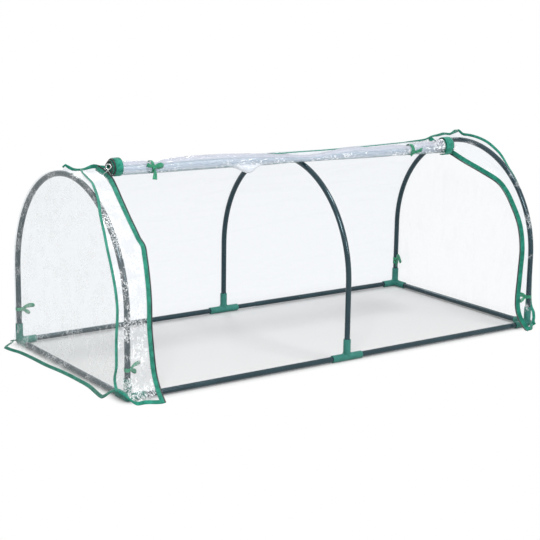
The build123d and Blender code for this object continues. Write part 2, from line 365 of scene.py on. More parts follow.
# A solid finish: two mottled colours, a gloss that varies and a fine bump. mottled and worn are a noise
# with its lower and upper bound, and fine is a noise with the bump's depth and strength
def solidFinish(name, colours, mottled, worn, gloss, fine, **values):
    s = Shader(name)
    here = s.place()
    cloud, wear, grain = (s.noise(here, *look[0]) for look in (mottled, worn, fine))
    s.set(Base_Color=s.blend(s.ramp(cloud, *mottled[1:]), *colours), **values)
    s.set(Roughness=s.ramp(wear, *worn[1:], gloss))
    s.bump(grain, *fine[1:])
    return s.material


# Clear film: a thin layer tinted by what it lets through, with white crinkles that show over dark things:
# painted glints.
# patch bounds the crinkled places, streak whitens its folds, a painted highlight, and edge whitens its rims,
# partly its haze seen edge-on and partly a painted sheen; folds sets how these run
def clearFilm(name, haze, crinkleGlint, through, patch=(0.46, 0.60), streak=0.05, edge=0.10,
              folds=(1.0, 2.6, 1.3)):
    s = Shader(name)
    here = s.place()
    ovals = s.noise(s.place((1.5, 1.5, 0.5), turn=(0.3, 0.15, 0.1)), 95, 2, 0.5, 1.8)
    swirls = s.apart(s.noise(here, 75, 2, 0.5, 1.2), 0.5)
    grains = s.noise(here, 260, 2, 0.6, 0.3)
    # the crinkles' white spots: painted glints
    spots = s.most(s.ramp(ovals, 0.58, 0.63), s.times(s.ramp(grains, 0.58, 0.66), 0.8),
                   s.times(s.ramp(swirls, 0.012, 0.03, (1.0, 0.0)), 0.75))
    patches = s.ramp(s.noise(here, 17, 3, 0.6), *patch)
    # soft streaks along the folds; below, they whiten the film as a painted highlight
    streaks = s.ramp(s.noise(s.place(folds, turn=(0.3, 0.1, 0.0)), 5, 4, 0.5, 0.6), 0.45, 0.75)
    # a painted sheen at the rims, whiter where the film turns from view
    rim = s.times(s.node("LayerWeight", Blend=0.3).outputs["Facing"], edge)
    opacity = s.math("ADD", s.math("MULTIPLY_ADD", streaks, streak, haze), rim)
    opacity = s.math("ADD", opacity, s.times(spots, patches, crinkleGlint))
    s.set(Base_Color=(0.955, 0.975, 0.99, 1), Roughness=0.16, Specular_IOR_Level=0.5)
    s.bump(s.math("ADD", s.times(ovals, 0.15 * crinkleGlint), streaks), 0.0016, 0.4)
    return s.seeThrough(s.math("MINIMUM", opacity, 0.97), through)


# How the front panel's V runs: a flat share up to the roll, then its turns
wound = {"flat": 0.22, "turns": 2.25, "length": 0.33}
looseFold = {  # it hangs from the roll's front
    "at": -0.238, "length": 0.065, "fade": (0.035, 0.075),  # along X
    "turn": 0.11, "turns": 0.13, "drop": 0.025,
}


def woundAt(turn):
    return wound["length"] * mix(wound["flat"], 1.0, turn / wound["turns"])


# The same film wound up: pale along the top, a painted light; long dark streaks, and darker in its lower
# half, a painted shade; crushed spots low down that show as painted glints; a dark lower edge, a painted
# shade where it rests on the arch
rolledLook = {
    "clear": 0.34,
    "through": (0.93, 0.95, 0.97, 1),
    "pale": (0.80, 0.84, 0.91, 1),
    # the streaks' own darker tone and the lower half's painted shade
    "dark": (0.30, 0.43, 0.55, 1),
    # the top, more solid there and lit pale: a painted light
    "top": (0.58, 0.60, 0.68, 1),
    # the lower edge's painted shade
    "line": (0.14, 0.25, 0.26, 1),
    "fold": (0.80, 0.83, 0.88, 1),
    # the crushed end's pits of painted shade
    "crushed": (0.10, 0.10, 0.11, 1),
    # painted glints
    "glint": (0.96, 0.98, 1.0, 1),
    "crushedEnd": (0.535, 0.575),  # where along X the right end starts to be crushed
    "bands": {  # in turns of the roll: where each starts, is full, fades and is gone
        # line and middle hold painted shade, top the painted light and low the painted glints
        "line": (0.02, 0.06, 0.15, 0.19),
        "low": (0.08, 0.12, 0.30, 0.38),
        "middle": (0.11, 0.16, 0.32, 0.40),
        "top": (0.30, 0.40, 0.70, 0.85),
        "fold": (-0.2, -0.05, 0.17, 0.25),
    },
}


def rolledFilm():
    s = Shader("rolled_film")
    here = s.place()
    v = s.part(s.place(source="UV"), 1)

    def band(name):
        start, full, fading, gone = (woundAt(turn) for turn in rolledLook["bands"][name])
        return s.times(s.ramp(v, start, full), s.ramp(v, fading, gone, (1.0, 0.0)))

    x = s.part(here, 0)
    fold = s.times(s.ramp(s.apart(x, looseFold["at"]), *looseFold["fade"], (1.0, 0.0)), band("fold"))
    # a painted shade along the lower edge, but not under the loose fold
    line = s.times(band("line"), s.math("SUBTRACT", 1.0, fold))
    # low: where the painted glints lie; middle: the lower half's painted shade; top: the painted light along
    # the top
    low, middle, top = (band(name) for name in ("low", "middle", "top"))
    runs = s.ramp(s.noise(s.place((0.10, 1.0, 1.0)), 62, 3, 0.6, 0.4), 0.44, 0.66)
    crush = s.noise(s.place((0.5, 1, 1)), 105, 3, 0.6, 1.5)
    crushed = s.ramp(x, *rolledLook["crushedEnd"])
    area = s.ramp(s.noise(here, 8, 2), 0.42, 0.56)
    # painted glints, low on the roll and all over the crushed right end
    glint = s.times(s.math("MULTIPLY_ADD", low, 0.85, 0.10), s.math("MULTIPLY_ADD", area, 0.7, 0.3),
                    s.ramp(crush, 0.53, 0.59))
    glint = s.most(glint, s.times(crushed, s.ramp(crush, 0.50, 0.56)))
    # the long streaks' own tone, with the lower half's painted shade
    shade = s.most(s.times(runs, s.math("MULTIPLY_ADD", middle, 0.6, 0.18)), s.times(middle, 0.5))
    # pits of painted shade among the crushed end's crumples
    crumpleShade = s.times(crushed, s.ramp(crush, 0.42, 0.50, (0.8, 0.0)))
    base = rolledLook["pale"]
    for amount, colour in ((shade, "dark"), (top, "top"), (s.times(line, 0.9), "line"),
                           (s.times(fold, 0.8), "fold"), (crumpleShade, "crushed"), (glint, "glint")):
        base = s.blend(amount, base, rolledLook[colour])
    s.set(Base_Color=base, Roughness=0.18, Specular_IOR_Level=0.6)
    s.bump(s.math("ADD", s.times(crush, 0.6), runs), 0.003, 0.5)
    solid = ((shade, 0.75), (top, 0.68), (line, 0.8), (low, 0.5), (glint, 0.9), (crushed, 0.6), (fold, 0.85))
    opacity = s.most(*(s.times(amount, share) for amount, share in solid), rolledLook["clear"])
    return s.seeThrough(opacity, rolledLook["through"])


stitchColour = (0.10, 0.46, 0.34, 1)


# Woven tape with rows of stitches; U runs along it in metres and V across it
def wovenTape(name, colour, pale, rows=(0.0022, 0.0048)):
    s = Shader(name)
    there = s.place(source="UV")
    along, across = s.part(there, 0), s.part(there, 1)
    warp = s.wave(there, 480, "X")
    weft = s.wave(there, 620, "Y")
    weave = s.times(warp, weft)
    worn = s.noise(s.place(), 60, 4, 0.6)
    base = s.blend(s.ramp(worn, 0.35, 0.72), colour, pale)
    base = s.blend(s.times(weave, 0.35), base, pale)
    line = s.most(0.0, *(s.ramp(s.apart(across, row), 0.0003, 0.0006, (1.0, 0.0)) for row in rows))
    dashes = s.ramp(s.math("PINGPONG", along, 0.0018), 0.0003, 0.0007)
    thread = s.times(line, dashes)
    s.set(Base_Color=s.blend(thread, base, stitchColour), Roughness=0.72)
    s.set(Sheen_Weight=0.25, Sheen_Roughness=0.4, Specular_IOR_Level=0.25)
    s.bump(s.math("ADD", weave, s.times(thread, 2.0)), 0.0006, 0.6)
    return s.material


finishes = {
    "tube": solidFinish("coated_tube", ((0.003, 0.015, 0.021, 1), (0.007, 0.026, 0.034, 1)),
                        mottled=((9, 4), 0.35, 0.7), worn=((336, 2, 0.6, 0.4), 0.45, 0.75),
                        gloss=(0.17, 0.25), fine=((260, 2), 0.0001, 0.1),
                        Specular_IOR_Level=0.7, Specular_Tint=(0.66, 0.90, 1.0, 1)),
    "plastic": solidFinish("moulded_plastic", ((0.018, 0.155, 0.125, 1), (0.032, 0.205, 0.168, 1)),
                           mottled=((30, 3), 0.3, 0.75), worn=((70, 2), 0.3, 0.8), gloss=(0.36, 0.5),
                           fine=((900, 2, 0.7), 0.0003, 0.35), Specular_IOR_Level=0.4,
                           Subsurface_Weight=0.05, Subsurface_Radius=(0.002, 0.004, 0.003)),
    "nylon": solidFinish("zip_nylon", ((0.012, 0.012, 0.014, 1), (0.05, 0.05, 0.055, 1)),
                         mottled=((90, 3), 0.3, 0.7), worn=((90, 3), 0.3, 0.7), gloss=(0.38, 0.38),
                         fine=((700, 2), 0.0003, 0.4)),
    "metal": solidFinish("plated_metal", ((0.62, 0.62, 0.6, 1), (0.8, 0.8, 0.79, 1)),
                         mottled=((220, 3), 0.3, 0.7), worn=((140, 3), 0.3, 0.7), gloss=(0.2, 0.42),
                         fine=((1200, 2), 0.0002, 0.3), Metallic=1.0),
    "rearFilm": clearFilm("rear_film", 0.04, 0.0, (0.915, 0.935, 0.962, 1), folds=(0.5, 2.6, 4.0)),
    "leftEndFilm": clearFilm("left_end_film", 0.09, 0.55, (0.990, 0.998, 0.992, 1), (0.44, 0.60), 0.03, 0.04),
    "rightEndFilm": clearFilm("right_end_film", 0.05, 0.04, (0.960, 0.975, 0.985, 1)),
    "leftFilm": clearFilm("left_strip_film", 0.06, 0.95, (0.965, 0.975, 0.985, 1), (0.40, 0.56)),
    "rightFilm": clearFilm("right_strip_film", 0.0, 0.60, (0.975, 0.985, 0.995, 1), (0.54, 0.64), 0.01, 0.02),
    "rollFilm": rolledFilm(),
    # tape and seam are one green binding tape in a darker and a lighter copy: the darker, a painted shade,
    # goes on the rear and end hems and the right zip, and the lighter, a painted light, on the seams, front
    # hems, roll ends and left zip
    "tape": wovenTape("shaded_woven_tape", (0.003, 0.135, 0.090, 1), (0.016, 0.250, 0.170, 1)),
    "seam": wovenTape("seam_tape", (0.006, 0.165, 0.112, 1), (0.03, 0.32, 0.225, 1)),
    "ribbon": wovenTape("ribbon_weave", (0.022, 0.215, 0.120, 1), (0.07, 0.36, 0.21, 1), rows=()),
}
print("finishes made:", len(finishes))


# Making pieces
def addObject(name, data):
    made = bpy.data.objects.new(name, data)
    scene.collection.objects.link(made)
    return made


def finishPiece(name, bm, finish, smooth=True):
    mesh = bpy.data.meshes.new(name)
    for face in bm.faces:
        face.smooth = smooth
    bm.to_mesh(mesh)
    bm.free()
    piece = addObject(name, mesh)
    mesh.materials.append(finishes[finish])
    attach(piece, "root")
    return piece


def closedPiece(name, bm, finish, smooth=True):
    bmesh.ops.recalc_face_normals(bm, faces=bm.faces[:])
    return finishPiece(name, bm, finish, smooth)


# A flat grid laid along a form: place(u, v) gives each point, and the UV map holds metres
def laidGrid(bm, columns, rows, place, size):
    made = bmesh.ops.create_grid(bm, x_segments=columns, y_segments=rows, size=0.5)
    uvLayer = bm.loops.layers.uv.verify()
    spots = {v: (v.co.x + 0.5, v.co.y + 0.5) for v in made["verts"]}
    for face in {f for v in made["verts"] for f in v.link_faces}:
        for loop in face.loops:
            u, v = spots[loop.vert]
            loop[uvLayer].uv = (u * size[0], v * size[1])
    for vert, (u, v) in spots.items():
        vert.co = place(u, v)
    return made["verts"]


def faceAway(bm):
    bm.normal_update()
    total = sum(f.normal.dot(f.calc_center_median() - coverMiddle) * f.calc_area() for f in bm.faces)
    if total < 0:
        bmesh.ops.reverse_faces(bm, faces=bm.faces[:])


def sheetPiece(name, columns, rows, place, size, finish):
    bm = bmesh.new()
    laidGrid(bm, columns, rows, place, size)
    bmesh.ops.remove_doubles(bm, verts=bm.verts[:], dist=0.00005)
    faceAway(bm)
    return finishPiece(name, bm, finish)


def steps(count):
    return [i / count for i in range(count + 1)]


# How far along a line of points each of them lies
def distances(points):
    along = [0.0]
    for a, b in zip(points, points[1:]):
        along.append(along[-1] + (b - a).length)
    return along


# A folded tape: a flat oval section carried along a path. spots is a list of
# (middle, direction of the width, direction of the thickness), and width one size or one for each spot.
def addTape(bm, spots, width, thickness, around=10):
    count = len(spots) - 1
    widths = width if isinstance(width, list) else [width] * len(spots)

    def place(u, v):
        i = round(u * count)
        middle, across, out = spots[i]
        angle = v * 2 * pi
        flat = abs(cos(angle)) ** 0.35 * (1 if cos(angle) > 0 else -1)
        return middle + across * flat * widths[i] / 2 + out * sin(angle) * thickness / 2

    length = distances([spot[0] for spot in spots])[-1]
    verts = laidGrid(bm, count, around, place, (length, 2 * widths[0]))
    bmesh.ops.remove_doubles(bm, verts=verts, dist=0.00002)
    rims = [e for e in bm.edges if e.is_boundary]
    bmesh.ops.holes_fill(bm, edges=rims, sides=0)


tapeLow = 0.0001  # a tape that would go below the ground lies on it at this height


def tapePiece(name, spots, width, thickness, finish):
    bm = bmesh.new()
    addTape(bm, spots, width, thickness)
    for vert in bm.verts:
        vert.co.z = max(vert.co.z, tapeLow)
    return closedPiece(name, bm, finish)


# Which way a line of points runs at each of them
def headings(points):
    last = len(points) - 1
    return [(points[min(i + 1, last)] - points[max(i - 1, 0)]).normalized() for i in range(last + 1)]


# Directions for a tape along a surface, from points and outward normals: it lies flat, or leans up
# from flat by the angle in leans, toward its left as it runs down the front
def laidSpots(points, normals, leans=None):
    spots = []
    for point, normal, ahead, lean in zip(points, normals, headings(points), leans or [0.0] * len(points)):
        across = ahead.cross(normal).normalized()
        out = across.cross(ahead).normalized()
        spots.append((point, *swing(across, out, lean)))
    return spots


def coverSpots(points, girths, leans=None):
    return laidSpots(points, [coverNormal(girth) for girth in girths], leans)


# The film panels
panels = {"filmToHem": 0.006, "zipLap": 0.005}

# How far an end panel's foot stands out from the end hoop, from rear to front
endFoot = {
    "left": [(-0.44, 0.004), (-0.36, 0.006), (-0.31, 0.018), (-0.27, 0.022), (-0.21, 0.022),
             (-0.14, 0.021), (-0.07, 0.022), (0.0, 0.025), (0.09, 0.033), (0.18, 0.039), (0.27, 0.042),
             (0.34, 0.058), (0.44, 0.055)],
    "right": [(-0.44, 0.028), (-0.36, 0.024), (-0.2, 0.018), (0.0, 0.018), (0.2, 0.018), (0.36, 0.024),
              (0.44, 0.030)],
}


def endFlare(end, y, up):
    drop = ease((cover["endSkirt"] - up) / cover["endSkirt"] * 0.5) * 2
    return follow(endFoot[end], y) * drop ** 1.4


# How far the rear's film and hem reach out to an end's foot: fully at the ends, soon nothing
def outAtEnd(u, flare):
    end = "left" if u < 0.5 else "right"
    return ends[end] * flare(end) * abs(2 * u - 1) ** 12


def rearPlace(u, v):
    x = mix(-endPlane, endPlane, u)
    girth = mix(ridgeGirth(x), -(rear["end"] - panels["filmToHem"]), v)
    _, up, _, _ = section(girth)
    return coverPoint(x + outAtEnd(u, lambda end: endFlare(end, skinRadius, up)), girth)


rearFilm = sheetPiece("rear_film", 190, 96, rearPlace, (1.72, 0.92), "rearFilm")
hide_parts("rear_sheet")
strips, endFilms = {}, {}


def seamPoint(end, girth, lift):
    return coverPoint(seamX(end, girth), girth, follow(seamStands[end], girth) + lift)


for end, side in ends.items():
    def stripPlace(u, v, end=end, side=side):
        top = ridgeGirth(seamX(end, ridgeGirth(side * hoopX)) if u > 0.5 else zipX(end, 0.0))
        girth = mix(top, frontEnd - panels["filmToHem"], v)
        inner = zipX(end, girth) + side * panels["zipLap"]
        x = mix(inner, seamX(end, girth), u)
        girth = mix(ridgeGirth(x), frontEnd - panels["filmToHem"], v)
        return coverPoint(x, girth, follow(seamStands[end], girth) * ease(u) ** 3)

    strips[end] = sheetPiece(f"{end}_strip_film", 26, 96, stripPlace, (0.11, 0.9), f"{end}Film")
    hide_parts(f"{end}_front_strip")

endPanel = {"wrap": 0.08, "billow": 0.004, "skirtWave": 0.004}  # wrap is the share that turns the corner


# A point on an end panel: a band from the front seam round to the end, then across to the rear
def endPoint(end, u, share, low=panels["filmToHem"]):
    side = ends[end]
    girth = mix(ridgeGirth(seamX(end, 0.0)), frontEnd - low, share)
    back = -mix(-ridgeGirth(seamX(end, 0.0)), rear["end"] - low, share)
    seam = seamX(end, girth)
    edge = side * max(abs(seam), endPlane)
    stand = follow(seamStands[end], girth)
    if u < endPanel["wrap"]:
        t = u / endPanel["wrap"]
        return coverPoint(mix(seam, edge, t), girth, stand * (1 - ease(t)))
    across = (u - endPanel["wrap"]) / (1 - endPanel["wrap"])
    start, stop = evenPoint(edge, girth), evenPoint(side * endPlane, back)
    x = mix(start.x, stop.x, ease(across * 3))
    point = start.lerp(stop, across)
    point.x = x
    free = ease(min(across, 1 - across) * 8)
    diagonal = wrinkle(point.y * 3 + point.z * 7, point.z * 3 - point.y * 5, 9.0 + side)
    skirt = ease((cover["endSkirt"] - point.z) / cover["endSkirt"])
    wave = wrinkle(point.y * 9.0, 2.5, side * 6.0) * endPanel["skirtWave"] * skirt
    flare = endFlare(end, point.y, point.z) * ease(across * 12)
    point.x += side * (free * (diagonal * endPanel["billow"] + wave) + flare)
    return tugged(point)


for end in ends:
    def endPlace(u, v, end=end):
        return endPoint(end, u, v)

    endFilms[end] = sheetPiece(f"{end}_end_film", 90, 96, endPlace, (0.88, 0.9), f"{end}EndFilm")
    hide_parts(f"{end}_end_panel")
print("film panels made")

# The front panel, wound into a roll that lies on the arch and slopes forward to the right
roll = {
    "left": -0.713, "right": 0.606,  # the film between the bound edges
    "flatLeft": -0.735, "flatRight": 0.655,  # where the flat part's edges meet the roll
    "zipGap": 0.012,
    "leftAngle": 77, "rightAngle": 70,
    "stand": 0.0011,  # off the hoops
    "inner": 0.009,
    "radius": [(-0.713, 0.0245), (-0.63, 0.0232), (-0.585, 0.0180), (-0.54, 0.0240), (-0.40, 0.0262),
               (-0.25, 0.0240), (-0.08, 0.0168), (0.0, 0.0128), (0.045, 0.0128), (0.10, 0.0170),
               (0.20, 0.0240), (0.285, 0.0198), (0.38, 0.0220), (0.461, 0.0185), (0.50, 0.0238),
               (0.55, 0.0240), (0.60, 0.0290)],
    "crumple": [(-0.70, 0.0012), (0.50, 0.0014), (0.57, 0.0034), (0.62, 0.0034)],
}
joinTurns = 12  # the flat part has joined the roll after a twelfth of a turn
edgeBoxes = {end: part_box(f"door_{end}_edge") for end in ends}
rollEnds = {"left": edgeBoxes["left"][0].x, "right": edgeBoxes["right"][1].x}


def rollAngle(x):
    share = (x - rollEnds["left"]) / (rollEnds["right"] - rollEnds["left"])
    return mix(roll["leftAngle"], roll["rightAngle"], share)


# The roll's middle, as (outward, up), for a stretch of a given radius
def rollMiddle(x, radius):
    angle = radians(rollAngle(x))
    distance = archRadius + tubeRadius + roll["stand"] + radius
    return distance * cos(angle), archCentre + distance * sin(angle)


def rollPoint(x, turn, radius, crumple):
    outward, up = rollMiddle(x, radius)
    shrink = mix(1.0, roll["inner"] / radius, turn / wound["turns"])
    angle = radians(rollAngle(x)) + pi + turn * 2 * pi
    ripple = wrinkle(x * 26, angle * 1.9, 3.0) + 0.7 * wrinkle(x * 60, angle * 3.1, 8.0)
    reach = radius * shrink + crumple * ripple * ease(turn * 6)
    fold = 1 - ease(abs(x - looseFold["at"]) / looseFold["length"])
    fold *= ease(1 - abs(turn - looseFold["turn"]) / looseFold["turns"])
    reach += looseFold["drop"] * fold * ease(turn * joinTurns)
    return Vector((x, -(outward + reach * cos(angle)), up + reach * sin(angle)))


def doorPlace(u, v):
    edgeGirth = archGirth(rollAngle(mix(roll["flatLeft"], roll["flatRight"], u)))
    x = mix(zipX("left", edgeGirth) + roll["zipGap"], zipX("right", edgeGirth) - roll["zipGap"], u)
    if v < wound["flat"]:
        return coverPoint(x, mix(ridgeGirth(x), edgeGirth, v / wound["flat"]))
    start = coverPoint(x, edgeGirth)
    x = mix(roll["left"], roll["right"], u)
    turn = (v - wound["flat"]) / (1 - wound["flat"]) * wound["turns"]
    curled = rollPoint(x, turn, follow(roll["radius"], x), follow(roll["crumple"], x))
    return start.lerp(curled, ease(turn * joinTurns))


doorFilm = sheetPiece("door_film", 240, 110, doorPlace, (1.4, wound["length"]), "rollFilm")
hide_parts("rolled_door")

# The roll's bound ends: green tape and dark zip teeth wound together, drawn out into a cone
boundTape = {"turns": 3.0, "start": 255, "waver": 0.0012, "thickness": 0.0028}
boundTeeth = {"width": 0.0046, "thickness": 0.0036, "inside": 0.0030, "beside": 0.0012}
boundEnds = {
    "left": {"x": -0.7255, "radius": 0.0310, "core": 0.0085, "width": 0.027, "drawn": -0.019, "sink": 0.0},
    "right": {"x": 0.6165, "radius": 0.0340, "core": 0.0100, "width": 0.034, "drawn": 0.004, "sink": 0.004},
}


def woundSpots(edge, centre, radius):
    spots = []
    for t in steps(170):
        turn = boundTape["turns"] * t
        reach = mix(radius, edge["core"], t) + boundTape["waver"] * wrinkle(turn * 4.1, 0.0, 5.0)
        angle = radians(boundTape["start"]) + turn * 2 * pi
        out = frontward(angle)
        shift = edge["drawn"] * t + wrinkle(turn * 2.3, 4.0, 1.0) * boundTape["waver"]
        spots.append((centre + eastward * shift + out * reach, eastward, out))
    return spots


for end, side in ends.items():
    low, high = edgeBoxes[end]
    edge = boundEnds[end]
    centre = Vector((edge["x"], (low.y + high.y) / 2, (low.z + high.z) / 2 - edge["sink"]))
    spots = woundSpots(edge, centre, edge["radius"])
    # the lighter copy of the binding tape: a painted light
    tape = tapePiece(f"{end}_roll_tape", spots, edge["width"], boundTape["thickness"], "seam")
    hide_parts(f"door_{end}_edge")
    rim = centre + eastward * side * (edge["width"] / 2 + boundTeeth["beside"])
    spots = woundSpots(edge, rim, edge["radius"] - boundTeeth["inside"])
    tapePiece(f"{end}_roll_teeth", spots, boundTeeth["width"], boundTeeth["thickness"], "nylon")
print("rolled front made")

# The hems
hem = {"height": 0.014, "thickness": 0.003, "spacing": 0.002, "turn": 6, "flat": 0.75, "up": 0.66}
frontHemGirth = frontEnd - hem["height"] / 2
rearHemGirth = hem["height"] / 2 - rear["end"]
rearFoot = 0.36  # the place in endFoot that the rear hem's ends follow


def hemTape(name, spots, finish):
    return tapePiece(name, spots, hem["height"], hem["thickness"], finish)


points = []
for t in steps(150):
    out = outAtEnd(t, lambda end: follow(endFoot[end], rearFoot))
    points.append(coverPoint(mix(-endPlane, endPlane, t) + out, rearHemGirth))
# the darker copy of the binding tape: a painted shade
rearHem = hemTape("rear_hem_tape", coverSpots(points, [rearHemGirth] * len(points)), "tape")
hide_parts("rear_hem")
stripHems, endHems = {}, {}
for end, side in ends.items():
    zipFoot, seamFoot = zipX(end, frontHemGirth), seamX(end, frontHemGirth)
    points = [coverPoint(mix(zipFoot, seamFoot, t), frontHemGirth) for t in steps(40)]
    spots = coverSpots(points, [frontHemGirth] * len(points))
    # the lighter copy of the binding tape: a painted light
    stripHems[end] = hemTape(f"{end}_strip_hem_tape", spots, "seam")
    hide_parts(f"{end}_strip_hem")
    points = [endPoint(end, t, 1.0, hem["height"] / 2) for t in steps(120)]
    clean = [points[0]]
    for point in points[1:]:
        if (point - clean[-1]).length > hem["spacing"]:
            clean.append(point)
    normals = []
    for i in range(len(clean)):
        turn = ease(i / hem["turn"]) * pi / 2  # from the front round to the end
        normals.append(Vector((side * sin(turn) * hem["flat"], -cos(turn) * hem["flat"], hem["up"])))
    # the darker copy of the binding tape: a painted shade
    endHems[end] = hemTape(f"{end}_end_hem_tape", laidSpots(clean, normals), "tape")
    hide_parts(f"{end}_end_hem")

# The ridge seam stands up from the film near the ends and lies flat behind the roll
ridge = {
    "thickness": 0.0028, "left": -0.872, "right": 0.862,
    "stand": 0.001, "rise": 0.42,  # the middle's height off the film, the second as a share of the width
    "width": [(-0.872, 0.007), (-0.85, 0.010), (-0.80, 0.008), (-0.762, 0.014), (-0.70, 0.0085),
              (0.68, 0.0085), (0.735, 0.013), (0.765, 0.009), (0.80, 0.010), (0.835, 0.016), (0.862, 0.009)],
    "lean": [(-0.872, 75), (-0.72, 75), (-0.66, 5), (0.50, 5), (0.62, 60), (0.862, 75)],
}
xs = [mix(ridge["left"], ridge["right"], t) for t in steps(190)]
widths = [follow(ridge["width"], x) for x in xs]
leans = [radians(follow(ridge["lean"], x)) for x in xs]
points = [coverPoint(x, ridgeGirth(x), ridge["stand"] + width * ridge["rise"] * sin(lean))
          for x, width, lean in zip(xs, widths, leans)]
spots = coverSpots(points, [ridgeGirth(x) for x in xs], leans)
# the lighter copy of the binding tape: a painted light
ridgeSeam = tapePiece("ridge_seam_tape", spots, widths, ridge["thickness"], "seam")
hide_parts("ridge_seam")

# The end seams and the zips
endSeam = {
    "thickness": 0.0028, "stand": 0.0018, "aside": 0.32,
    "left": {"lean": [(0.0, 18), (0.9, 18)],
             "width": [(0.0, 0.006), (0.07, 0.009), (0.10, 0.0135), (0.13, 0.011), (0.9, 0.0125)]},
    "right": {"lean": [(-0.05, 80), (0.06, 65), (0.16, 35), (0.26, -10), (0.45, 40), (0.9, 40)],
              "width": [(-0.05, 0.010), (0.27, 0.010), (0.36, 0.006), (0.75, 0.006), (0.83, 0.011)]},
}
zips = {"width": 0.016, "thickness": 0.0022, "stand": 0.0016}
coil = {
    "width": 0.0046, "height": 0.0026, "pitch": 0.0021, "core": 0.0016, "lowest": 0.0032,
    "beside": 0.3, "coreWidth": 0.8, "tooth": 0.62,  # shares of the width, the width and the pitch
}
zipLeans = {
    "left": [(0.0, -60), (0.10, -50), (0.16, 0), (0.9, 0)],
    "right": [(0.0, -55), (0.28, -50), (0.42, -34), (0.9, -30)],
}
endSeams, zipTapes = {}, {}
for end, side in ends.items():
    girths = [mix(ridgeGirth(seamX(end, 0.0)), frontEnd, t) for t in steps(130)]
    leans = [radians(follow(endSeam[end]["lean"], girth)) for girth in girths]
    leans = [lean if side < 0 else pi - lean for lean in leans]
    points = [seamPoint(end, girth, endSeam["stand"]) for girth in girths]
    widths = [follow(endSeam[end]["width"], girth) for girth in girths]
    spots = [(point + across * width * endSeam["aside"], across, out)
             for (point, across, out), width in zip(coverSpots(points, girths, leans), widths)]
    # the lighter copy of the binding tape: a painted light
    endSeams[end] = tapePiece(f"{end}_end_seam_tape", spots, widths, endSeam["thickness"], "seam")
    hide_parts(f"{end}_end_seam")

    girths = [mix(ridgeGirth(zipX(end, 0.0)), frontEnd, t) for t in steps(130)]
    leans = [radians(follow(zipLeans[end], girth)) for girth in girths]
    points = [coverPoint(zipX(end, girth), girth, zips["stand"]) for girth in girths]
    spots = coverSpots(points, girths, leans)
    # the right zip takes the darker copy of the binding tape, a painted shade, and the left zip the lighter,
    # a painted light
    finish = "tape" if side > 0 else "seam"
    zipTapes[end] = tapePiece(f"{end}_zip_tape", spots, zips["width"], zips["thickness"], finish)
    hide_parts(f"{end}_zip")

    bm = bmesh.new()
    reach = side * (zips["width"] / 2 + coil["width"] * coil["beside"])
    core = [(point + wide * reach, wide, out) for point, wide, out in spots]
    for point, _, _ in core:
        point.z = max(point.z, coil["lowest"])
    addTape(bm, core, coil["width"] * coil["coreWidth"], coil["core"], 8)
    along = distances([point for point, _, _ in core])
    tooth = Matrix.Diagonal((coil["width"], coil["pitch"] * coil["tooth"], coil["height"], 1))
    k = 0
    for i in range(int(along[-1] / coil["pitch"])):
        at = (i + 0.5) * coil["pitch"]
        while along[k + 1] < at:
            k += 1
        (a, wide, out), (b, _, _) = core[k], core[k + 1]
        point = a.lerp(b, (at - along[k]) / (along[k + 1] - along[k]))
        turned = Matrix((wide, (b - a).normalized(), out)).transposed().to_4x4()
        bmesh.ops.create_cube(bm, size=1.0, matrix=Matrix.Translation(point) @ turned @ tooth)
    closedPiece(f"{end}_zip_coil", bm, "nylon", smooth=False)
print("bindings made")


# Ribbon bows. Each piece of ribbon is a few points in the bow's own frame, in millimetres: aside, up,
# out, a twist in degrees and the ribbon's width there
millimetre = 0.001
ribbon = {"thickness": 0.0012, "knot": 0.0052, "knotOut": 0.0025, "twist": 0.35}
bows = {
    "left_roll": [
        [(0, 0, 1, 0, 8), (-8, 5, 3, 8, 9), (-17, 9, 3, -6, 12), (-25, 13, 2, 10, 13)],
        [(0, 0, 1, 30, 8), (11, 5, 4, 24, 12), (22, 6, 6, 20, 15), (30, 1, 4, 70, 15), (22, -4, 1, 130, 13),
         (9, -3, 1, 150, 9), (0, 0, 1, 160, 8)],
        [(0, -1, 1, 0, 7), (1, -11, 3, 6, 9), (1, -24, 2, -6, 14), (-2, -39, 3, 4, 18)],
    ],
    "right_roll": [
        [(0, 0, 1, 20, 8), (10, 3, 4, 18, 12), (22, 8, 6, 14, 14), (34, 10, 4, 70, 14), (24, 3, 1, 130, 13),
         (10, 0, 1, 150, 9), (0, 0, 1, 160, 8)],
        [(0, 0, 1, 0, 7), (-6, 3, 2, 5, 10), (-13, 2, 3, -6, 13)],
        [(0, -1, 1, 0, 6), (-3, -7, 2, 10, 8), (-9, -13, 2, -4, 9)],
    ],
    "leg": [
        [(0, 0, 1, 20, 8), (8, 7, 4, 24, 10), (20, 13, 6, 30, 12), (34, 14, 6, 60, 12), (38, 9, 5, 100, 12),
         (24, 6, 3, 150, 10), (8, 1, 2, 165, 8)],
        [(0, 0, 1, 20, 8), (9, -5, 4, 24, 11), (18, -10, 5, 50, 13), (22, -16, 4, 100, 12),
         (12, -12, 2, 150, 10), (3, -3, 1, 165, 8)],
        [(0, 0, 1, -10, 7), (-5, -8, 3, -4, 9), (-8, -18, 3, 8, 11), (-8, -30, 4, -10, 12)],
    ],
    "leg_inside": [
        [(-4, -8, 1, 0, 10), (4, 4, 2, 10, 12), (14, 16, 5, 20, 14), (24, 17, 6, 40, 18), (36, 8, 5, 10, 21),
         (46, -6, 3, 0, 21)],
        [(0, 0, 1, -10, 9), (3, -10, 2, -4, 12), (2, -22, 2, 8, 12), (-2, -32, 1, -10, 11)],
    ],
}


# A run's values at even steps, each followed smoothly from stop to stop
def drawnOut(stops, count=26):
    last = len(stops) - 1
    curves = [[(k / last, stop[axis]) for k, stop in enumerate(stops)] for axis in range(len(stops[0]))]
    return [[follow(curve, t) for curve in curves] for t in steps(count)]


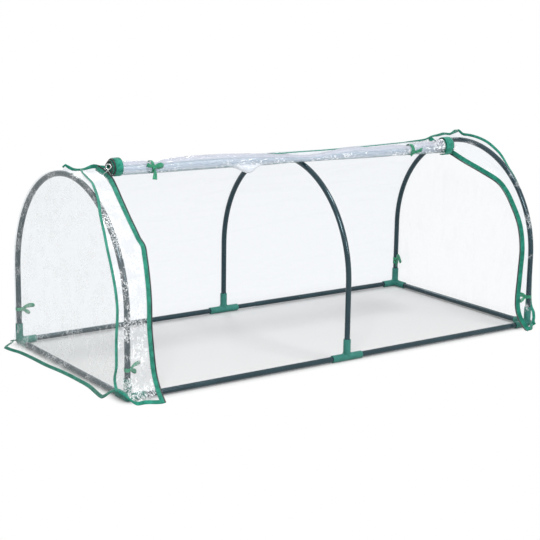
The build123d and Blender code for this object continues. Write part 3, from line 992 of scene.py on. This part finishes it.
def addBow(bm, knot, aside, up, out, runs):
    for run in runs:
        line = drawnOut(run)
        points = [knot + (aside * a + up * b + out * c) * millimetre for a, b, c, _, _ in line]
        spots = []
        across = up
        for i, (point, ahead) in enumerate(zip(points, headings(points))):
            turned = ahead.cross(out)
            if turned.length > 0.2:
                turned.normalize()
                across = turned if turned.dot(across) > -0.2 or i == 0 else -turned
            across = (across - ahead * across.dot(ahead)).normalized()
            face = across.cross(ahead).normalized()
            spots.append((point, *swing(across, face, radians(line[i][3] * ribbon["twist"]))))
        addTape(bm, spots, [width * millimetre for _, _, _, _, width in line], ribbon["thickness"], 8)
    made = bmesh.ops.create_icosphere(bm, subdivisions=3, radius=ribbon["knot"])
    for vert in made["verts"]:
        p = vert.co.copy()
        pinch = 1 + 0.3 * wrinkle(p.x * 300, p.y * 300, p.z * 300)
        ball = aside * p.x * 1.1 + up * p.y * 1.1 + out * p.z * 0.75
        vert.co = knot + ball * pinch + out * ribbon["knotOut"]


# The band of a tie round a tube or the roll
def addBand(bm, middle, a, b, radius, width):
    spots = []
    for t in steps(44):
        out, _ = swing(a, b, t * 2 * pi)
        spots.append((middle + out * radius, a.cross(b), out))
    addTape(bm, spots, width, ribbon["thickness"], 8)


def tiePiece(name, bm):
    piece = closedPiece(f"{name}_ribbon", bm, "ribbon")
    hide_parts(name)


legTie = {
    "up": {"rear_left": 0.012, "front_left": -0.012, "front_right": 0.0, "rear_right": 0.0},
    "stand": 0.0009, "width": 0.012, "secondBand": 0.014,
    "knotOut": 0.002, "knotIn": 0.004, "insideOut": 0.001,
}
for end, side in ends.items():
    for face, ySide in (("front", -1), ("rear", 1)):
        low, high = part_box(f"{face}_{end}_tie")
        height = (low.z + high.z) / 2 + legTie["up"][f"{face}_{end}"]
        leg = Vector((side * hoopX, ySide * archRadius, height))
        inward = Vector((0, -ySide, 0))
        inside = side > 0 and ySide > 0  # its long bow hangs inside the tunnel
        bm = bmesh.new()
        addBand(bm, leg, eastward, northward, tubeRadius + legTie["stand"], legTie["width"])
        if inside:
            below = leg - upright * legTie["secondBand"]
            addBand(bm, below, eastward, northward, tubeRadius + legTie["stand"], legTie["width"])
            aside = (inward * 0.97 - eastward * 0.24).normalized()
            knot = leg + (inward - eastward * 0.4) * (tubeRadius + legTie["insideOut"])
            runs = bows["leg_inside"]
        else:
            aside = (-side * eastward * 0.95 + inward * 0.3).normalized()
            knot = leg - side * eastward * (tubeRadius + legTie["knotOut"]) + inward * legTie["knotIn"]
            runs = bows["leg"][:2] if ySide < 0 and side < 0 else bows["leg"]
        out = aside.cross(upright)
        addBow(bm, knot, aside, upright, out if out.y < 0 or inside else -out, runs)
        tiePiece(f"{face}_{end}_tie", bm)

rollTie = {
    "stand": 0.0012, "knotOut": 0.002,
    "left": {"x": -0.600, "turn": 4, "angle": 2, "width": 0.010},
    "right": {"x": 0.461, "turn": 2, "angle": -22, "width": 0.015},
}
for end in ends:
    tie = rollTie[end]
    radius = follow(roll["radius"], tie["x"]) + rollTie["stand"]
    outward, up = rollMiddle(tie["x"], radius)
    middle = Vector((tie["x"], -outward, up))
    bm = bmesh.new()
    addBand(bm, middle, upright, -northward, radius, tie["width"])
    out = frontward(radians(tie["angle"]))
    aside, upward = swing(eastward, Vector((0, out.z, -out.y)), radians(tie["turn"]))
    addBow(bm, middle + out * (radius + rollTie["knotOut"]), aside, upward, out, bows[f"{end}_roll"])
    tiePiece(f"{end}_roll_tie", bm)

# Zip sliders with their ring pulls
slider = {
    "body": (0.010, 0.014, 0.0042), "bodyEdge": 0.0012,
    "bridge": (0.0030, 0.009, 0.0020), "bridgeEdge": 0.0006, "bridgeUp": 0.0034,
    "ring": 0.0080, "wire": 0.0011, "seat": 0.0050, "angle": 79,
}
pulls = {
    "left": {"ring": (-0.762, -0.1150, 0.6862), "feet": ((-0.770, -0.088, 0.6560), (-0.744, -0.104, 0.6520))},
    "right": {"ring": (0.686, -0.1250, 0.6540), "feet": ((0.672, -0.098, 0.6570), (0.666, -0.106, 0.6550))},
}


def wireSpots(points, axis):
    spots = []
    for point, ahead in zip(points, headings(points)):
        across = ahead.cross(axis).normalized()
        spots.append((point, across, ahead.cross(across)))
    return spots


# A box with rounded edges, in the slider's own frame
def addRoundedBox(bm, size, up, edge, segments):
    shape = Matrix.Translation((0, 0, up)) @ Matrix.Diagonal((*size, 1))
    corners = set(bmesh.ops.create_cube(bm, size=1.0, matrix=shape)["verts"])
    edges = [e for e in bm.edges if e.verts[0] in corners]
    bmesh.ops.bevel(bm, geom=edges, offset=edge, segments=segments, profile=0.5, affect="EDGES", material=-1)


for end in ends:
    low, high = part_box(f"{end}_zip_slider")
    out = frontward(radians(slider["angle"]))
    down = Vector((0, -out.z, out.y))
    bm = bmesh.new()
    addRoundedBox(bm, slider["body"], 0.0, slider["bodyEdge"], 3)
    addRoundedBox(bm, slider["bridge"], slider["bridgeUp"], slider["bridgeEdge"], 2)
    seat = Vector(((low.x + high.x) / 2, 0, archCentre)) + out * (skinRadius + slider["seat"])
    base = Matrix.Translation(seat) @ Matrix((eastward, down, out)).transposed().to_4x4()
    bmesh.ops.transform(bm, matrix=base, verts=bm.verts[:])
    ring = Vector(pulls[end]["ring"])
    axis = Vector((-0.60, -0.76, 0.22)).normalized()
    a = axis.cross(upright).normalized()
    b = a.cross(axis).normalized()
    arms = [swing(a, b, t * 2 * pi)[0] for t in steps(56)]
    thick = slider["wire"] * 2
    addTape(bm, [(ring + arm * slider["ring"], arm, axis) for arm in arms], thick, thick, 12)
    thick = slider["wire"] * 1.8
    for foot, hand in zip(pulls[end]["feet"], (-0.5, 0.5)):
        start = ring + (a * hand - b * 0.87) * slider["ring"]
        addTape(bm, wireSpots([start.lerp(Vector(foot), t) for t in steps(10)], axis), thick, thick, 10)
    bmesh.ops.remove_doubles(bm, verts=bm.verts[:], dist=0.00001)
    pull = closedPiece(f"{end}_zip_pull", bm, "metal")
    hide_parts(f"{end}_zip_slider")
print("ties and sliders made")

# The carried-over tubes and connectors
for name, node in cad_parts.items():
    if name.endswith(("_rail", "_hoop", "_corner", "_tee")):
        node.data.materials.clear()
        node.data.materials.append(finishes["plastic" if name.endswith(("_corner", "_tee")) else "tube"])

# A loop over the ends, which does nothing
for end in ends:
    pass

# Camera
shot = {"at": (-2.9085, -4.0806, 1.3771), "yaw": 34.97, "pitch": -12.79, "roll": 0.853, "lens": 95.63}
yaw, pitch, tip = (radians(shot[k]) for k in ("yaw", "pitch", "roll"))
ahead = Vector((sin(yaw) * cos(pitch), cos(yaw) * cos(pitch), sin(pitch)))
right = Vector((cos(yaw), -sin(yaw), 0))
upward = right.cross(ahead)
right, upward = swing(right, upward, tip)
cameraData = bpy.data.cameras.new("camera")
cameraData.lens = shot["lens"]
cameraData.sensor_width = 36
camera = addObject("camera", cameraData)
camera.matrix_world = Matrix.Translation(shot["at"]) @ Matrix((right, upward, -ahead)).transposed().to_4x4()
scene.camera = camera

# Light: a white studio, one large soft lamp from the upper left
worldLight = 0.50
lamps = {
    "key": {"at": (-2.5, -3.0, 3.2), "size": 1.1, "power": 92},
    "fill": {"at": (0.9, -4.1, 1.9), "size": 0.8, "power": 34},
    "rim": {"at": (0.8, -1.4, 4.0), "size": 0.8, "power": 56},
    "back": {"at": (0.9, 2.9, 2.3), "size": 1.0, "power": 26},
}
world = bpy.data.worlds.new("studio")
world.use_nodes = True
scene.world = world
sky = Tree(world.node_tree)
strength = sky.node("MapRange", Value=sky.seen(), To_Min=worldLight, To_Max=1.0).outputs[0]
sky.fill(sky.nodes["Background"], Color=(1, 1, 1, 1), Strength=strength)

for name, lamp in lamps.items():
    data = bpy.data.lights.new(f"{name}_lamp", "AREA")
    data.shape = "SQUARE"
    data.size = lamp["size"]
    data.energy = lamp["power"]
    placed = addObject(f"{name}_lamp", data)
    placed.location = lamp["at"]
    placed.rotation_euler = (coverMiddle - Vector(lamp["at"])).to_track_quat("-Z", "Y").to_euler()

# Floor: pale, with the shadow, fading to the white background. Under the frame it stays lit grey with the
# real shadow in it; round it the camera sees a white glow, so the grey box under the tunnel is a painted
# shadow
ground = {"size": 30, "below": 0.0006, "colour": (0.70, 0.70, 0.70, 1), "inset": 0.01, "fade": 0.055}
bm = bmesh.new()
bmesh.ops.create_grid(bm, x_segments=2, y_segments=2, size=ground["size"])
floorMesh = bpy.data.meshes.new("floor")
bm.to_mesh(floorMesh)
bm.free()
floor = addObject("floor", floorMesh)
floor.location.z = -ground["below"]
s = Shader("floor_finish")
here = s.place()
beyond = [s.most(s.math("SUBTRACT", s.math("ABSOLUTE", s.part(here, axis)), edge - ground["inset"]), 0.0)
          for axis, edge in ((0, hoopX), (1, archRadius))]
distance = s.math("SQRT", s.math("ADD", *(s.times(gap, gap) for gap in beyond)))
s.set(Base_Color=ground["colour"], Roughness=0.7, Specular_IOR_Level=0.2)
# 0 under the frame, where the painted shadow lies, and 1 past the fade, for the camera
white = s.times(s.ramp(distance, 0.0, ground["fade"]), s.seen())
glow = s.node("Emission", Color=(1, 1, 1, 1)).outputs[0]
floorMesh.materials.append(s.mixed(white, s.surface.outputs[0], glow))

scene.view_settings.view_transform = "Standard"
print("scene ready")
